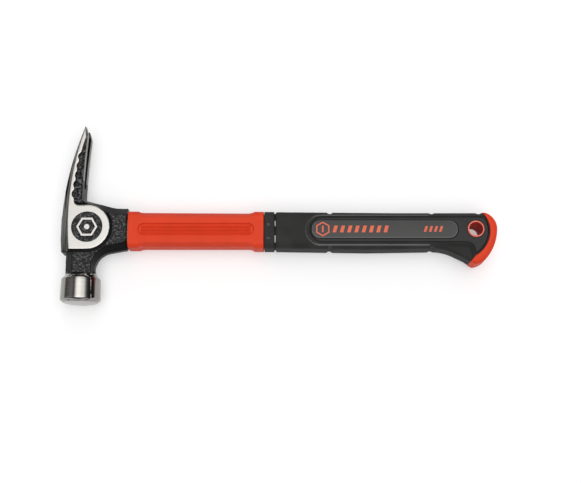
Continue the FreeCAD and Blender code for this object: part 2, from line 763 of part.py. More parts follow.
def make_soft_grip():
    grip = new_body("soft_grip")
    side = new_sketch(grip, "GripSide", "XY_Plane")
    add_outline(side, [
        (S.grip_start, S.grip_low_front),
        (S.grip_low_x, S.grip_low),
        (S.flare_start_x, S.flare_start_y, -S.flare_radius),
        (S.flare_end_x, S.flare_end_y),
        (S.bend_x, S.bend_y),
        (S.toe_x, S.toe_y),
        (S.strap_low_x, S.strap_low_y, S.strap_radius),
        (S.strap_x, S.grip_top),
        (S.grip_top_x, S.grip_top),
        (S.grip_start, S.grip_top_front),
    ])
    slab_thick = S.grip_thick - S.land_step * 2
    pad_both(grip, "GripSlab", side, slab_thick)
    # The neck of the grip steps down to the ring through a short spigot.
    bar(grip, "Spigot", S.ring_end, S.grip_start, S.ring_top - S.ring_low - S.spigot_sink * 2,
        S.ring_thick - S.spigot_sink * 2, S.ring_corner, rise=(S.ring_top + S.ring_low) / 2)
    fillet(grip, "GripRounding", S.grip_round, long_edges(slab_thick, S.grip_start.value + 1, S.toe_x.value))
    raised = new_sketch(grip, "RaisedSide", "XY_Plane")
    add_outline(raised, raised_outline())
    pad_both(grip, "RaisedPad", raised, S.grip_thick)
    bar(grip, "SheathHole", S.ring_end, S.core_end, S.sheath_high, S.sheath_thick, S.sheath_corner, cut=True)
    hole = new_sketch(grip, "BushHole", "XY_Plane")
    add_circle(hole, S.hang_x, S.hang_y, S.bush_radius)
    both_ways(grip.newObject("PartDesign::Pocket", "BushHoleCut"), hole, S.grip_thick * 2)
    for name, sign in (("Above", 1), ("Below", -1)):
        panel = new_sketch(grip, "PanelSeat" + name, "XY_Plane", S.grip_thick / 2 * sign)
        add_outline(panel, panel_outline(S.panel_gap))
        pocket(grip, "PanelSeatCut" + name, panel, S.panel_depth, sign < 0)
        sections = []
        for part, depth, inset, start in (("Rim", NOTHING, S.scoop_inset, S.scoop_start_x),
                                          ("Floor", S.scoop_depth, S.scoop_inset + S.scoop_slope,
                                           S.scoop_floor_x)):
            scoop = new_sketch(grip, "Scoop" + part + name, "XY_Plane", (S.grip_thick / 2 - depth) * sign)
            add_outline(scoop, scoop_outline(inset, start))
            sections.append(scoop)
        loft(grip, "ScoopCut" + name, sections, cut=True)
    # Finger notches across the spine and the belly.
    notches = new_sketch(grip, "Notches", "XY_Plane")
    for notch in SPINE_NOTCHES_X:
        add_circle(notches, notch, S.grip_top + S.notch_sink, S.notch_radius)
    for notch in BELLY_NOTCHES_X:
        add_circle(notches, notch, S.flare_start_y - S.notch_sink, S.notch_radius)
    both_ways(grip.newObject("PartDesign::Pocket", "NotchCut"), notches, S.grip_thick * 2)
    return grip


def plate_sketch(body, name, height, gap):
    """The label plate's outline, or its seat's, which is wider by the gap."""
    sketch = new_sketch(body, name, "XY_Plane", height)
    add_rounded(sketch, S.plate_start - gap, S.plate_end + gap, S.plate_low - gap, S.plate_top + gap,
                ((S.plate_top - S.plate_low) / 2 + gap) * ROUND_END)
    return sketch


def make_panel(label, sign):
    """A hard panel on one side of the grip, with a seat for its label plate."""
    panel = new_body(label)
    outer = S.grip_thick / 2 - S.panel_sink
    face = new_sketch(panel, "PanelFace", "XY_Plane", outer * sign)
    add_outline(face, panel_outline(NOTHING))
    add_circle(face, S.hang_x, S.hang_y, S.bush_radius)
    slab = pad(panel, "PanelSlab", face, S.panel_depth - S.panel_sink)
    slab.Reversed = sign > 0
    seat = plate_sketch(panel, "PlateSeat", outer * sign, S.panel_gap)
    pocket(panel, "PlateSeatCut", seat, S.plate_depth, sign < 0)
    return panel


def make_plate(label, sign):
    plate = new_body(label)
    seat = S.grip_thick / 2 - S.panel_sink - S.plate_depth
    face = plate_sketch(plate, "PlateFace", seat * sign, NOTHING)
    slab = pad(plate, "PlateSlab", face, S.plate_depth + S.plate_proud)
    slab.Reversed = sign < 0
    return plate


def make_butt_cap():
    cap = new_body("butt_cap")
    side = new_sketch(cap, "CapSide", "XY_Plane")
    add_outline(side, [
        (S.toe_x, S.toe_y),
        (S.toe_tip_x, S.toe_tip_y, S.toe_radius),
        (S.toe_heel_x, S.toe_heel_y, S.butt_radius),
        (S.butt_x, S.butt_y, S.butt_corner),
        (S.butt_corner_x, S.grip_top),
        (S.cap_start_x, S.grip_top),
    ])
    pad_both(cap, "CapSlab", side, S.grip_thick)
    fillet(cap, "CapRounding", S.cap_round, long_edges(S.grip_thick, S.toe_x.value, S.butt_x.value))
    # The cap fits round the end of the grip along the strap line, which runs on past the toe.
    strap = new_sketch(cap, "StrapLine", "XY_Plane")
    add_outline(strap, [
        (S.strap_x, S.grip_top * 2),
        (S.strap_x, S.grip_top, -S.strap_radius),
        (S.strap_low_x, S.strap_low_y),
        (S.toe_x * 2 - S.strap_low_x, S.toe_y * 2 - S.strap_low_y),
        (S.cap_start_x * 2 - S.strap_x, S.toe_y * 2 - S.strap_low_y),
        (S.cap_start_x * 2 - S.strap_x, S.grip_top * 2),
    ])
    both_ways(cap.newObject("PartDesign::Pocket", "StrapCut"), strap, S.grip_thick * 2)
    return cap


def make_hang_bush():
    bush = new_body("hang_bush")
    ring = new_sketch(bush, "BushRing", "XY_Plane")
    add_circle(ring, S.hang_x, S.hang_y, S.bush_radius)
    add_circle(ring, S.hang_x, S.hang_y, S.hang_radius)
    pad_both(bush, "BushTube", ring, S.bush_thick)
    return bush


# ---- Assembly -------------------------------------------------------------------------------------

def check(objects):
    """Stops if any object of the document failed, or a sub-part has no valid solid."""
    for item in doc.Objects:
        if "Invalid" in item.State or "Error" in item.State:
            raise RuntimeError(f"{item.Name} failed: {item.State}")
    for item in objects:
        if item.Shape.isNull() or not item.Shape.isValid() or not item.Shape.Solids:
            raise RuntimeError(f"{item.Label} has no valid solid")


def main():
    bodies = [
        make_head(), make_core(), make_epoxy(), make_jacket(), make_front_ring(), make_soft_grip(),
        make_panel("side_panel_left", 1), make_panel("side_panel_right", -1),
        make_plate("label_plate_left", 1), make_plate("label_plate_right", -1),
        make_butt_cap(), make_hang_bush(),
    ]
    middle_x = (S.crown_low_x - S.crown_bulge + S.butt_x) / 2
    middle_y = (S.tip_y + S.face_y) / 2
    for body in bodies:
        bind(body, "Placement.Base.x", -middle_x)
        bind(body, "Placement.Base.y", -middle_y)
        bind(body, "Placement.Base.z", S.bell_radius)
    doc.recompute()
    check(bodies)
    os.makedirs("parts", exist_ok=True)
    for body in bodies:
        body.Shape.exportStep(f"parts/{body.Label}.step")


main()
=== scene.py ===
import json
import math

import bmesh
import bpy
import numpy as np
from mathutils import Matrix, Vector, noise


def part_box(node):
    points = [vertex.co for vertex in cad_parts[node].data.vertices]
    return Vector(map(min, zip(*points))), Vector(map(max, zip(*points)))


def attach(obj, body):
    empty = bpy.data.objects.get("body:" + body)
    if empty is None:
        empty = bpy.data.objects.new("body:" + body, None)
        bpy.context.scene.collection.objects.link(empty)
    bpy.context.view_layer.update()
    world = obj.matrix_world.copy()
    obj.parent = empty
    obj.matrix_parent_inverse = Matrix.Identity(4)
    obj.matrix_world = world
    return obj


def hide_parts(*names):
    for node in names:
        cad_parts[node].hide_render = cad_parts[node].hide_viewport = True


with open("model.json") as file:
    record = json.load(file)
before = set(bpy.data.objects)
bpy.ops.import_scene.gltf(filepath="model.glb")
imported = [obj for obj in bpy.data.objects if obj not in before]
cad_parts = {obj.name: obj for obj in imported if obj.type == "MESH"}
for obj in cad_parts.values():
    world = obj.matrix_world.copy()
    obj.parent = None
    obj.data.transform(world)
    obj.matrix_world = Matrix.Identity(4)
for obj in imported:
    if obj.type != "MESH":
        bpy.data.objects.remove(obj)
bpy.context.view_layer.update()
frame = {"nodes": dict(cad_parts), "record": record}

MM = 0.001

# ---- Places, from the frame ---------------------------------------------------------------------------
# Distances here are in millimetres from the hammer's own centre: the middle of the eye, on the handle's
# axis, with +X along the handle to the butt, +Y towards the claw and +Z out of the upper cheek.

HEAD_LOW, HEAD_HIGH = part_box("hammer_head")
CORE_LOW, CORE_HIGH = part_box("handle_core")
HANG = Vector(next(m["pos_m"] for m in frame["record"]["mounts"] if m["name"] == "hang_hole"))
HANG_X = 307.9                      # the hang hole's distance from the eye
ORIGIN = Vector((HANG.x - HANG_X * MM, (CORE_LOW.y + CORE_HIGH.y) / 2, (HEAD_LOW.z + HEAD_HIGH.z) / 2))


def to_mm(points):
    return (points - np.array(ORIGIN)) / MM


def to_frame(points):
    return points * MM + np.array(ORIGIN)


def smoothstep(x, low, high):
    t = np.clip((x - low) / (high - low), 0, 1)
    return t * t * (3 - 2 * t)


# ---- Mesh helpers -------------------------------------------------------------------------------------

def points_of(mesh):
    flat = np.empty(len(mesh.vertices) * 3, np.float32)
    mesh.vertices.foreach_get("co", flat)
    return flat.reshape(-1, 3).astype(float)


def normals_of(mesh):
    flat = np.empty(len(mesh.vertices) * 3, np.float32)
    mesh.vertex_normals.foreach_get("vector", flat)
    return flat.reshape(-1, 3).astype(float)


def set_points(mesh, points):
    mesh.vertices.foreach_set("co", points.astype(np.float32).ravel())
    mesh.update()


def edges_of(mesh):
    flat = np.empty(len(mesh.edges) * 2, np.int32)
    mesh.edges.foreach_get("vertices", flat)
    return flat.reshape(-1, 2)


def new_object(name, mesh):
    piece = bpy.data.objects.new(name, mesh)
    bpy.context.scene.collection.objects.link(piece)
    return piece


def apply_modifiers(piece):
    graph = bpy.context.evaluated_depsgraph_get()
    mesh = bpy.data.meshes.new_from_object(piece.evaluated_get(graph))
    piece.modifiers.clear()
    old = piece.data
    piece.data = mesh
    bpy.data.meshes.remove(old)


def welded_copy(node, name, end_x=None):
    """A copy of a CAD node's mesh with its split corners joined again. end_x cuts off a hidden rear end."""
    mesh = frame["nodes"][node].data.copy()
    mesh.materials.clear()
    work = bmesh.new()
    work.from_mesh(mesh)
    bmesh.ops.remove_doubles(work, verts=work.verts, dist=2e-6)
    if end_x is not None:
        place = Vector(to_frame(np.array((end_x, 0.0, 0.0))))
        geometry = work.verts[:] + work.edges[:] + work.faces[:]
        cut = bmesh.ops.bisect_plane(
            work, geom=geometry, plane_co=place, plane_no=(1, 0, 0), clear_outer=True)
        painted_highlight = [item for item in cut["geom_cut"] if isinstance(item, bmesh.types.BMEdge)]
        bmesh.ops.triangle_fill(work, edges=painted_highlight, use_beauty=True)
        bmesh.ops.recalc_face_normals(work, faces=work.faces)
    work.to_mesh(mesh)
    work.free()
    return new_object(name, mesh)


def smoothed(points, edges, weights, passes, strength=0.5):
    """Moves each point towards the mean of its neighbours, as far as its weight allows."""
    count = np.bincount(edges.ravel(), minlength=len(points)).astype(float)[:, None]
    for _ in range(passes):
        total = np.zeros_like(points)
        for axis in range(3):
            total[:, axis] = np.bincount(edges[:, 0], points[edges[:, 1], axis], len(points))
            total[:, axis] += np.bincount(edges[:, 1], points[edges[:, 0], axis], len(points))
        points = points + (total / count - points) * strength * weights[:, None]
    return points


def remeshed(piece, voxel):
    """Rebuilds the piece's surface as an even mesh with cells of this size, in millimetres."""
    remesh = piece.modifiers.new("remesh", "REMESH")
    remesh.mode = "VOXEL"
    remesh.voxel_size = voxel * MM
    remesh.use_smooth_shade = True
    apply_modifiers(piece)


def mark(mesh, name, distance):
    """Stores a signed distance in millimetres as an attribute that is over one half where it is positive."""
    attribute = mesh.attributes.new(name, "FLOAT", "POINT")
    attribute.data.foreach_set("value", np.clip(0.5 + distance, 0, 1).astype(np.float32))


def thinned(piece, most):
    """Merges triangles where the surface is flattest, down to this many."""
    triangles = sum(len(face.vertices) - 2 for face in piece.data.polygons)
    if triangles > most:
        decimate = piece.modifiers.new("thin", "DECIMATE")
        decimate.ratio = most / triangles
        apply_modifiers(piece)


CROWN = 0.09                        # how far the grip's side falls away at its edges, as a part of its height
CROWN_Y = -1.5
CROWN_HALF = 15.0


def crowned(points):
    """Gives the grip's flat sides the slight crown of a moulded grip."""
    across = np.clip((points[:, 1] - CROWN_Y) / CROWN_HALF, -1.2, 1.2)
    result = points.copy()
    result[:, 2] *= 1 - CROWN * across ** 2
    return result


def moulded(node, name, voxel, passes, crown=False, end_x=None, most=190000):
    """A CAD node rebuilt with the small edge rounding that a moulding or forging has."""
    piece = welded_copy(node, name, end_x)
    remeshed(piece, voxel)
    mesh = piece.data
    points = to_mm(points_of(mesh))
    points = smoothed(points, edges_of(mesh), np.ones(len(points)), passes)
    if crown:
        points = crowned(points)
    set_points(mesh, to_frame(points))
    thinned(piece, most)
    piece.data.shade_smooth()
    return piece


def finish_piece(piece, material, slot, *nodes):
    piece.data.materials.clear()
    piece.data.materials.append(material)
    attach(piece, "root")
    if nodes:
        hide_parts(*nodes)


# ---- Material helpers ---------------------------------------------------------------------------------

def new_material(name):
    material = bpy.data.materials.new(name)
    material.use_nodes = True
    return material, material.node_tree.nodes, material.node_tree.links


def noise_node(nodes, links, scale, detail=2.0, stretch=(1, 1, 1)):
    """Noise in object space. scale is in cells per metre."""
    place = nodes.new("ShaderNodeTexCoord")
    mapping = nodes.new("ShaderNodeMapping")
    mapping.inputs["Scale"].default_value = stretch
    texture = nodes.new("ShaderNodeTexNoise")
    texture.inputs["Scale"].default_value = scale
    texture.inputs["Detail"].default_value = detail
    links.new(place.outputs["Object"], mapping.inputs["Vector"])
    links.new(mapping.outputs["Vector"], texture.inputs["Vector"])
    return texture.outputs["Fac"]


def ramp(nodes, links, source, stops):
    """A colour ramp over a value. stops are (place, grey level or colour)."""
    node = nodes.new("ShaderNodeValToRGB")
    while len(node.color_ramp.elements) < len(stops):
        node.color_ramp.elements.new(0.5)
    for element, (place, colour) in zip(node.color_ramp.elements, stops):
        element.position = place
        element.color = (colour, colour, colour, 1) if isinstance(colour, (int, float)) else (*colour, 1)
    links.new(source, node.inputs["Fac"])
    return node.outputs["Color"]


def mix_by_attribute(nodes, links, base, name, other):
    """The other shader where the named attribute of the mesh is over one half, and the base elsewhere."""
    attribute = nodes.new("ShaderNodeAttribute")
    attribute.attribute_name = name
    mix = nodes.new("ShaderNodeMixShader")
    links.new(ramp(nodes, links, attribute.outputs["Fac"], [(0.42, 0.0), (0.58, 1.0)]), mix.inputs["Fac"])
    links.new(base, mix.inputs[1])
    links.new(other, mix.inputs[2])
    return mix.outputs["Shader"]


def bump(nodes, links, height, distance, strength=1.0):
    node = nodes.new("ShaderNodeBump")
    node.inputs["Distance"].default_value = distance
    node.inputs["Strength"].default_value = strength
    links.new(height, node.inputs["Height"])
    return node.outputs["Normal"]


def plastic(name, colour, roughness, grain_scale, grain_depth, variation=0.12, specular=0.3, painted_highlight=None):
    """A moulded plastic or rubber: slight mottling, uneven roughness and a fine moulded grain.

    Where the mesh's highlight attribute marks it, the plastic is smooth and glossy and takes the lighter
    colour given for it: a painted highlight.
    """
    material, nodes, links = new_material(name)
    shader = nodes["Principled BSDF"]
    shader.inputs["Specular IOR Level"].default_value = specular
    broad = noise_node(nodes, links, 60, 3)
    dark = tuple(c * (1 - variation) for c in colour)
    light = tuple(min(1, c * (1 + variation)) for c in colour)
    links.new(ramp(nodes, links, broad, [(0.35, dark), (0.65, light)]), shader.inputs["Base Color"])
    fine = noise_node(nodes, links, grain_scale, 2)
    links.new(ramp(nodes, links, fine, [(0.3, roughness * 0.88), (0.7, roughness * 1.12)]),
              shader.inputs["Roughness"])
    links.new(bump(nodes, links, fine, grain_depth), shader.inputs["Normal"])
    # The painted highlight: a lighter, glossy colour where the attribute marks the mesh.
    if painted_highlight:
        smooth = nodes.new("ShaderNodeBsdfPrincipled")
        smooth.inputs["Base Color"].default_value = (*painted_highlight, 1)
        smooth.inputs["Roughness"].default_value = 0.22
        smooth.inputs["Specular IOR Level"].default_value = 0.5
        mixed = mix_by_attribute(nodes, links, shader.outputs["BSDF"], "painted_highlight", smooth.outputs["BSDF"])
        links.new(mixed, nodes["Material Output"].inputs["Surface"])
    return material


def steel_shader(nodes, links, grain, shades, roughness, depth):
    """Bare steel with a directional grain.

    grain is (scale, stretch), and shades and roughness are each (low, high).
    """
    shader = nodes.new("ShaderNodeBsdfPrincipled")
    shader.inputs["Metallic"].default_value = 1.0
    marks = noise_node(nodes, links, grain[0], 3, grain[1])
    links.new(ramp(nodes, links, marks, [(0.35, shades[0]), (0.65, shades[1])]), shader.inputs["Base Color"])
    links.new(ramp(nodes, links, marks, [(0.3, roughness[0]), (0.7, roughness[1])]),
              shader.inputs["Roughness"])
    links.new(bump(nodes, links, marks, depth), shader.inputs["Normal"])
    return shader


GROUND_SHADES = ((0.365, 0.352, 0.335), (0.430, 0.414, 0.395))
# The satin tones: brushed steel, painted much darker than the ground steel as shade.
SATIN_PAINTED_SHADE_TONES = ((0.045, 0.044, 0.040), (0.20, 0.197, 0.185))
POLISHED_SHADES = ((0.275, 0.265, 0.25), (0.31, 0.30, 0.285))


def steel():
    """The head's steel: three kinds of black skin and three of bare steel, told apart by attributes."""
    material, nodes, links = new_material("head_steel")
    forged = nodes["Principled BSDF"]
    forged.inputs["Specular IOR Level"].default_value = 0.04
    forged.inputs["Roughness"].default_value = 0.28
    forged.inputs["Base Color"].default_value = (0.005, 0.005, 0.005, 1)
    # The flat facets and the medallions: grey specks on black, partly forging scale and partly a painted
    # reflection that makes the flats lighter than the bevels.
    scale = nodes.new("ShaderNodeBsdfPrincipled")
    scale.inputs["Specular IOR Level"].default_value = 0.12
    pits = noise_node(nodes, links, 640, 6)
    links.new(ramp(nodes, links, pits, [(0.36, 0.004), (0.52, 0.028), (0.68, 0.12)]),
              scale.inputs["Base Color"])
    links.new(ramp(nodes, links, pits, [(0.3, 0.42), (0.7, 0.6)]), scale.inputs["Roughness"])
    links.new(bump(nodes, links, pits, 0.00025), scale.inputs["Normal"])
    # Blacking in the claw's recesses, grey where the lumps stand out.
    soot = nodes.new("ShaderNodeBsdfPrincipled")
    soot.inputs["Specular IOR Level"].default_value = 0.10
    soot.inputs["Roughness"].default_value = 0.6
    lumps = noise_node(nodes, links, 520, 4)
    links.new(ramp(nodes, links, lumps, [(0.40, 0.003), (0.53, 0.030), (0.66, 0.14)]),
              soot.inputs["Base Color"])
    links.new(bump(nodes, links, lumps, 0.0005), soot.inputs["Normal"])
    ground = steel_shader(nodes, links, (900, (0.12, 1.6, 1.0)), GROUND_SHADES, (0.30, 0.40), 0.00002)
    # The back of the head and the underside of the claw: brushed, and painted much darker than the ground
    # land as shade on faces turned away from the light.
    satin_painted_shade = steel_shader(nodes, links, (420, (2.2, 0.10, 2.2)), SATIN_PAINTED_SHADE_TONES, (0.26, 0.4), 0.00003)
    polished = steel_shader(nodes, links, (700, (0.12, 2.5, 0.12)), POLISHED_SHADES, (0.15, 0.18), 0.000004)
    last = forged.outputs["BSDF"]
    for name, other in (("scale", scale), ("soot", soot), ("ground", ground), ("satin_painted_shade", satin_painted_shade),
                        ("polished", polished)):
        last = mix_by_attribute(nodes, links, last, name, other.outputs["BSDF"])
    links.new(last, nodes["Material Output"].inputs["Surface"])
    return material


# ---- Head ---------------------------------------------------------------------------------------------

BELL_X = -5.0                       # the bell's axis, parallel to Y
BELL_PROFILE = [                    # (distance along Y, radius) from the shoulder to the middle of the face
    (-39.0, 15.4), (-39.5, 15.6), (-41.0, 15.7), (-55.0, 16.08), (-55.8, 15.98), (-56.3, 15.5),
    (-57.5, 14.1), (-57.85, 13.5), (-58.1, 12.4), (-58.35, 8.0), (-58.5, 0.0),
]
LAND_TOP = 13.5                     # height of the ground land on each cheek
FACET_TOP = 12.3                    # height of the forged facet beside it
DISC = (0.3, 1.0)                   # centre of the land's round part and of the medallion
MEDALLION = 12.2
MEDALLION_DEPTH = 0.9
SHOULDER = 2.6                      # width of the slope between the land and the forged facet
BELL_EDGE = -34.2                   # where the polish starts, at mid height


def on_bell(points):
    """Puts points of the bell exactly on its turned profile."""
    radial = points[:, [0, 2]] - np.array([BELL_X, 0.0])
    radius = np.linalg.norm(radial, axis=1)
    profile = np.array(BELL_PROFILE)
    # On the side, a point keeps its Y and takes the profile's radius; on the face it keeps its radius.
    scale = np.interp(-points[:, 1], -profile[:, 0], profile[:, 1]) / np.maximum(radius, 1e-6)
    wall = points.copy()
    wall[:, 0] = BELL_X + radial[:, 0] * scale
    wall[:, 2] = radial[:, 1] * scale
    face = points.copy()
    face[:, 1] = np.interp(radius, profile[::-1, 1], profile[::-1, 0])
    return np.where((points[:, 1] > -57.0)[:, None], wall, face)


def land_outline(mesh):
    """The edges that bound the flat land on the upper cheek, as pairs of (x, y) ends."""
    work = bmesh.new()
    work.from_mesh(mesh)
    bmesh.ops.remove_doubles(work, verts=work.verts, dist=2e-6)
    top = ORIGIN.z + (LAND_TOP - 0.02) * MM
    flat = {face for face in work.faces if all(corner.co.z > top for corner in face.verts)}
    ends = [
        [to_mm(np.array(end.co))[:2] for end in edge.verts]
        for edge in work.edges
        if sum(face in flat for face in edge.link_faces) == 1
    ]
    work.free()
    return np.array(ends)


def distance_inside(points, outline):
    """Distance of each (x, y) to the outline: positive inside it and negative outside."""
    nearest = np.full(len(points), 1e9)
    crossings = np.zeros(len(points), int)
    x, y = points[:, 0], points[:, 1]
    for start, end in outline:
        along = end - start
        reach = np.clip(((points - start) @ along) / max(along @ along, 1e-12), 0, 1)
        gap = points - start - reach[:, None] * along
        nearest = np.minimum(nearest, np.einsum("ij,ij->i", gap, gap))
        spans = (start[1] > y) != (end[1] > y)
        if spans.any():
            meets = start[0] + (y - start[1]) * along[0] / (along[1] if along[1] else 1e-12)
            crossings += spans & (x < meets)
    return np.sqrt(nearest) * np.where(crossings % 2 == 1, 1, -1)


def refine_medallions(mesh):
    """Halves the mesh's cells over the two medallions, for crisp edges."""
    work = bmesh.new()
    work.from_mesh(mesh)
    centre = Vector(to_frame(np.array((*DISC, 0.0))))
    reach = (MEDALLION + 1.2) * MM
    near = {
        corner for corner in work.verts
        if (corner.co.xy - centre.xy).length < reach and abs(corner.co.z - ORIGIN.z) > 12 * MM
    }
    edges = [edge for edge in work.edges if all(end in near for end in edge.verts)]
    bmesh.ops.subdivide_edges(work, edges=edges, cuts=1, use_grid_fill=True)
    bmesh.ops.triangulate(work, faces=[face for face in work.faces if len(face.verts) > 4])
    work.to_mesh(mesh)
    work.free()


def unevenness(points, lumps_per_mm):
    """Smooth noise, about -1 to 1, at each point."""
    return np.array([noise.noise(Vector(place) * lumps_per_mm) for place in points])


def raise_lands(points, inside):
    """Sinks the medallions and gives each land a crisp edge and a shoulder down to the forged facet."""
    x, y, z = points.T
    from_disc = np.hypot(x - DISC[0], y - DISC[1])
    medallion = (np.abs(z) > 12.2) & (from_disc < MEDALLION + 0.6)
    height = LAND_TOP - MEDALLION_DEPTH * (1 - smoothstep(inside, -0.22, 0.14))
    z = np.where(medallion, np.sign(z) * height, z)
    shoulder = (np.abs(z) > 11.9) & (from_disc > MEDALLION + 1) & (inside < 0) & (y < 24) & (x > -13.2)
    slope = LAND_TOP - 0.1 - (LAND_TOP - FACET_TOP) * np.clip(-inside / SHOULDER, 0, 1) ** 0.8
    z = np.where(shoulder, np.sign(z) * np.maximum(np.abs(z), slope), z)
    return np.column_stack((x, y, z))


def head_zones(points, normals, inside):
    """Signed distances, in millimetres, into each kind of surface, the ones on top last."""
    x, y, z = points.T
    from_disc = np.hypot(x - DISC[0], y - DISC[1])
    facets = np.minimum.reduce([
        (np.abs(normals[:, 2]) - 0.96) * 30, 12.6 - np.abs(z), 24.0 - y, from_disc - 16, -inside - SHOULDER])
    recesses = np.minimum.reduce([y - 22.0, -0.3 - inside, np.abs(z) - 10.2, x + 13.5])
    back = np.minimum.reduce([(-normals[:, 0] - 0.30) * 8, y + 18.0, -9.0 - x + y * 0.14, -0.35 - inside])
    under_claw = np.minimum.reduce([(normals[:, 0] - 0.55) * 8, y - 40.0])
    return {
        # scale: the flat facets and medallions, with real scale specks, painted lighter than the bevels as a
        # reflection of the light overhead.
        "scale": np.maximum(facets, MEDALLION + 0.5 - from_disc),
        "soot": recesses,
        "ground": np.where(np.abs(z) > 12.2, inside - 0.05, -9.0),
        # satin: faces turned away from the light, painted darker as shade.
        "satin_painted_shade": np.maximum(back, under_claw),
        "polished": BELL_EDGE - y - np.abs(z) * 0.2,
    }


def make_head():
    outline = land_outline(frame["nodes"]["hammer_head"].data)
    head = welded_copy("hammer_head", "head_forging")
    remeshed(head, 0.42)
    refine_medallions(head.data)
    mesh = head.data
    points = to_mm(points_of(mesh))
    points = smoothed(points, edges_of(mesh), 1 - 0.7 * smoothstep(np.abs(points[:, 2]), 12.6, 13.2), 5)
    turned = on_bell(points)
    points += (turned - points) * smoothstep(-points[:, 1], 38.6, 39.6)[:, None]
    cheek = np.abs(points[:, 2]) > 10.6
    inside = np.full(len(points), -9.0)
    inside[cheek] = distance_inside(points[cheek][:, :2], outline)
    points = raise_lands(points, inside)
    set_points(mesh, to_frame(points))
    normals = normals_of(mesh)
    zones = head_zones(points, normals, inside)
    # The forged skin is uneven, and lumpy in the claw's recesses. The bare steel is not.
    forged = (1 - smoothstep(zones["ground"], -0.8, 0.0)) * (1 - smoothstep(zones["polished"], -0.8, 0.0))
    forged *= 1 - 0.6 * smoothstep(zones["satin_painted_shade"], -0.5, 0.3)
    coarse = unevenness(points, 0.55) * (0.10 + 0.45 * smoothstep(zones["soot"], 0.0, 0.8))
    fine = unevenness(points, 1.9) * 0.07
    points = points + normals * ((coarse + fine) * forged)[:, None]
    set_points(mesh, to_frame(points))
    for name, distance in zones.items():
        mark(mesh, name, distance)
    mesh.shade_smooth()
    finish_piece(head, steel(), "forged_steel", "hammer_head")


# ---- Handle -------------------------------------------------------------------------------------------

RED = (0.655, 0.043, 0.009)
# The hang tube's colours: its bore painted darker as shade, its flat ends painted lighter as a highlight.
TUBE_PAINTED_SHADE = (0.50, 0.030, 0.008)
TUBE_PAINTED_HIGHLIGHT = (0.72, 0.11, 0.06)
RUBBER = (0.027, 0.027, 0.0262)
HARD = (0.024, 0.024, 0.0235)
PLATE = (0.036, 0.036, 0.035)
# The lip colour: lighter than the rubber and the plate, a painted highlight along their raised edges.
LIP_PAINTED_HIGHLIGHT = (0.045, 0.045, 0.045)
PRINT = (0.68, 0.125, 0.06)
# The light grey of the groove bars: painted highlights in the groove between the front ring and the grip.
PAINTED_GROOVE_HIGHLIGHT = (0.30, 0.30, 0.30)
GREY = (0.07, 0.07, 0.07)
RAISED_PAD = (172.6, 340.0, -14.1, 10.9)        # the round-ended outlines: start and end, low and high
LABEL_PLATE = (177.9, 293.6, -8.1, 6.3)
JACKET_SIDE = 11.2                  # height of the jacket's flat sides
FLUTE_Y = -0.45
FLUTE_HALF = 4.8
FLUTE_GAIN = 1.9
JACKET_REAR = 141.5                 # behind this the jacket runs on inside the grip, out of sight


def mark_highlight_line(mesh, outline, width, end_x):
    """Marks a painted highlight: a lighter, glossy line of this width along the inside of a round-ended
    outline, as far as end_x.
    """
    start, end, low, high = outline
    x, y, z = to_mm(points_of(mesh)).T
    radius = (high - low) / 2
    along = np.clip(x, start + radius, end - radius)
    inside = radius - np.hypot(x - along, y - (high + low) / 2)
    line = width / 2 - np.abs(inside - width / 2)
    mark(mesh, "painted_highlight", np.minimum.reduce([line, np.abs(z) - 11.0, end_x - x]))


def deepen_flutes(mesh):
    """Cuts the channels in the jacket's flat sides deeper, with their ribs, for crisper lines."""
    x, y, z = to_mm(points_of(mesh)).T
    fluted = (x > 39.5) & (x < 133) & (np.abs(y - FLUTE_Y) < FLUTE_HALF + 0.6) & (np.abs(z) > 9)
    depth = JACKET_SIDE - np.abs(z)
    z = np.where(fluted & (depth > 0), np.sign(z) * (JACKET_SIDE - depth * FLUTE_GAIN), z)
    set_points(mesh, to_frame(np.column_stack((x, y, z))))


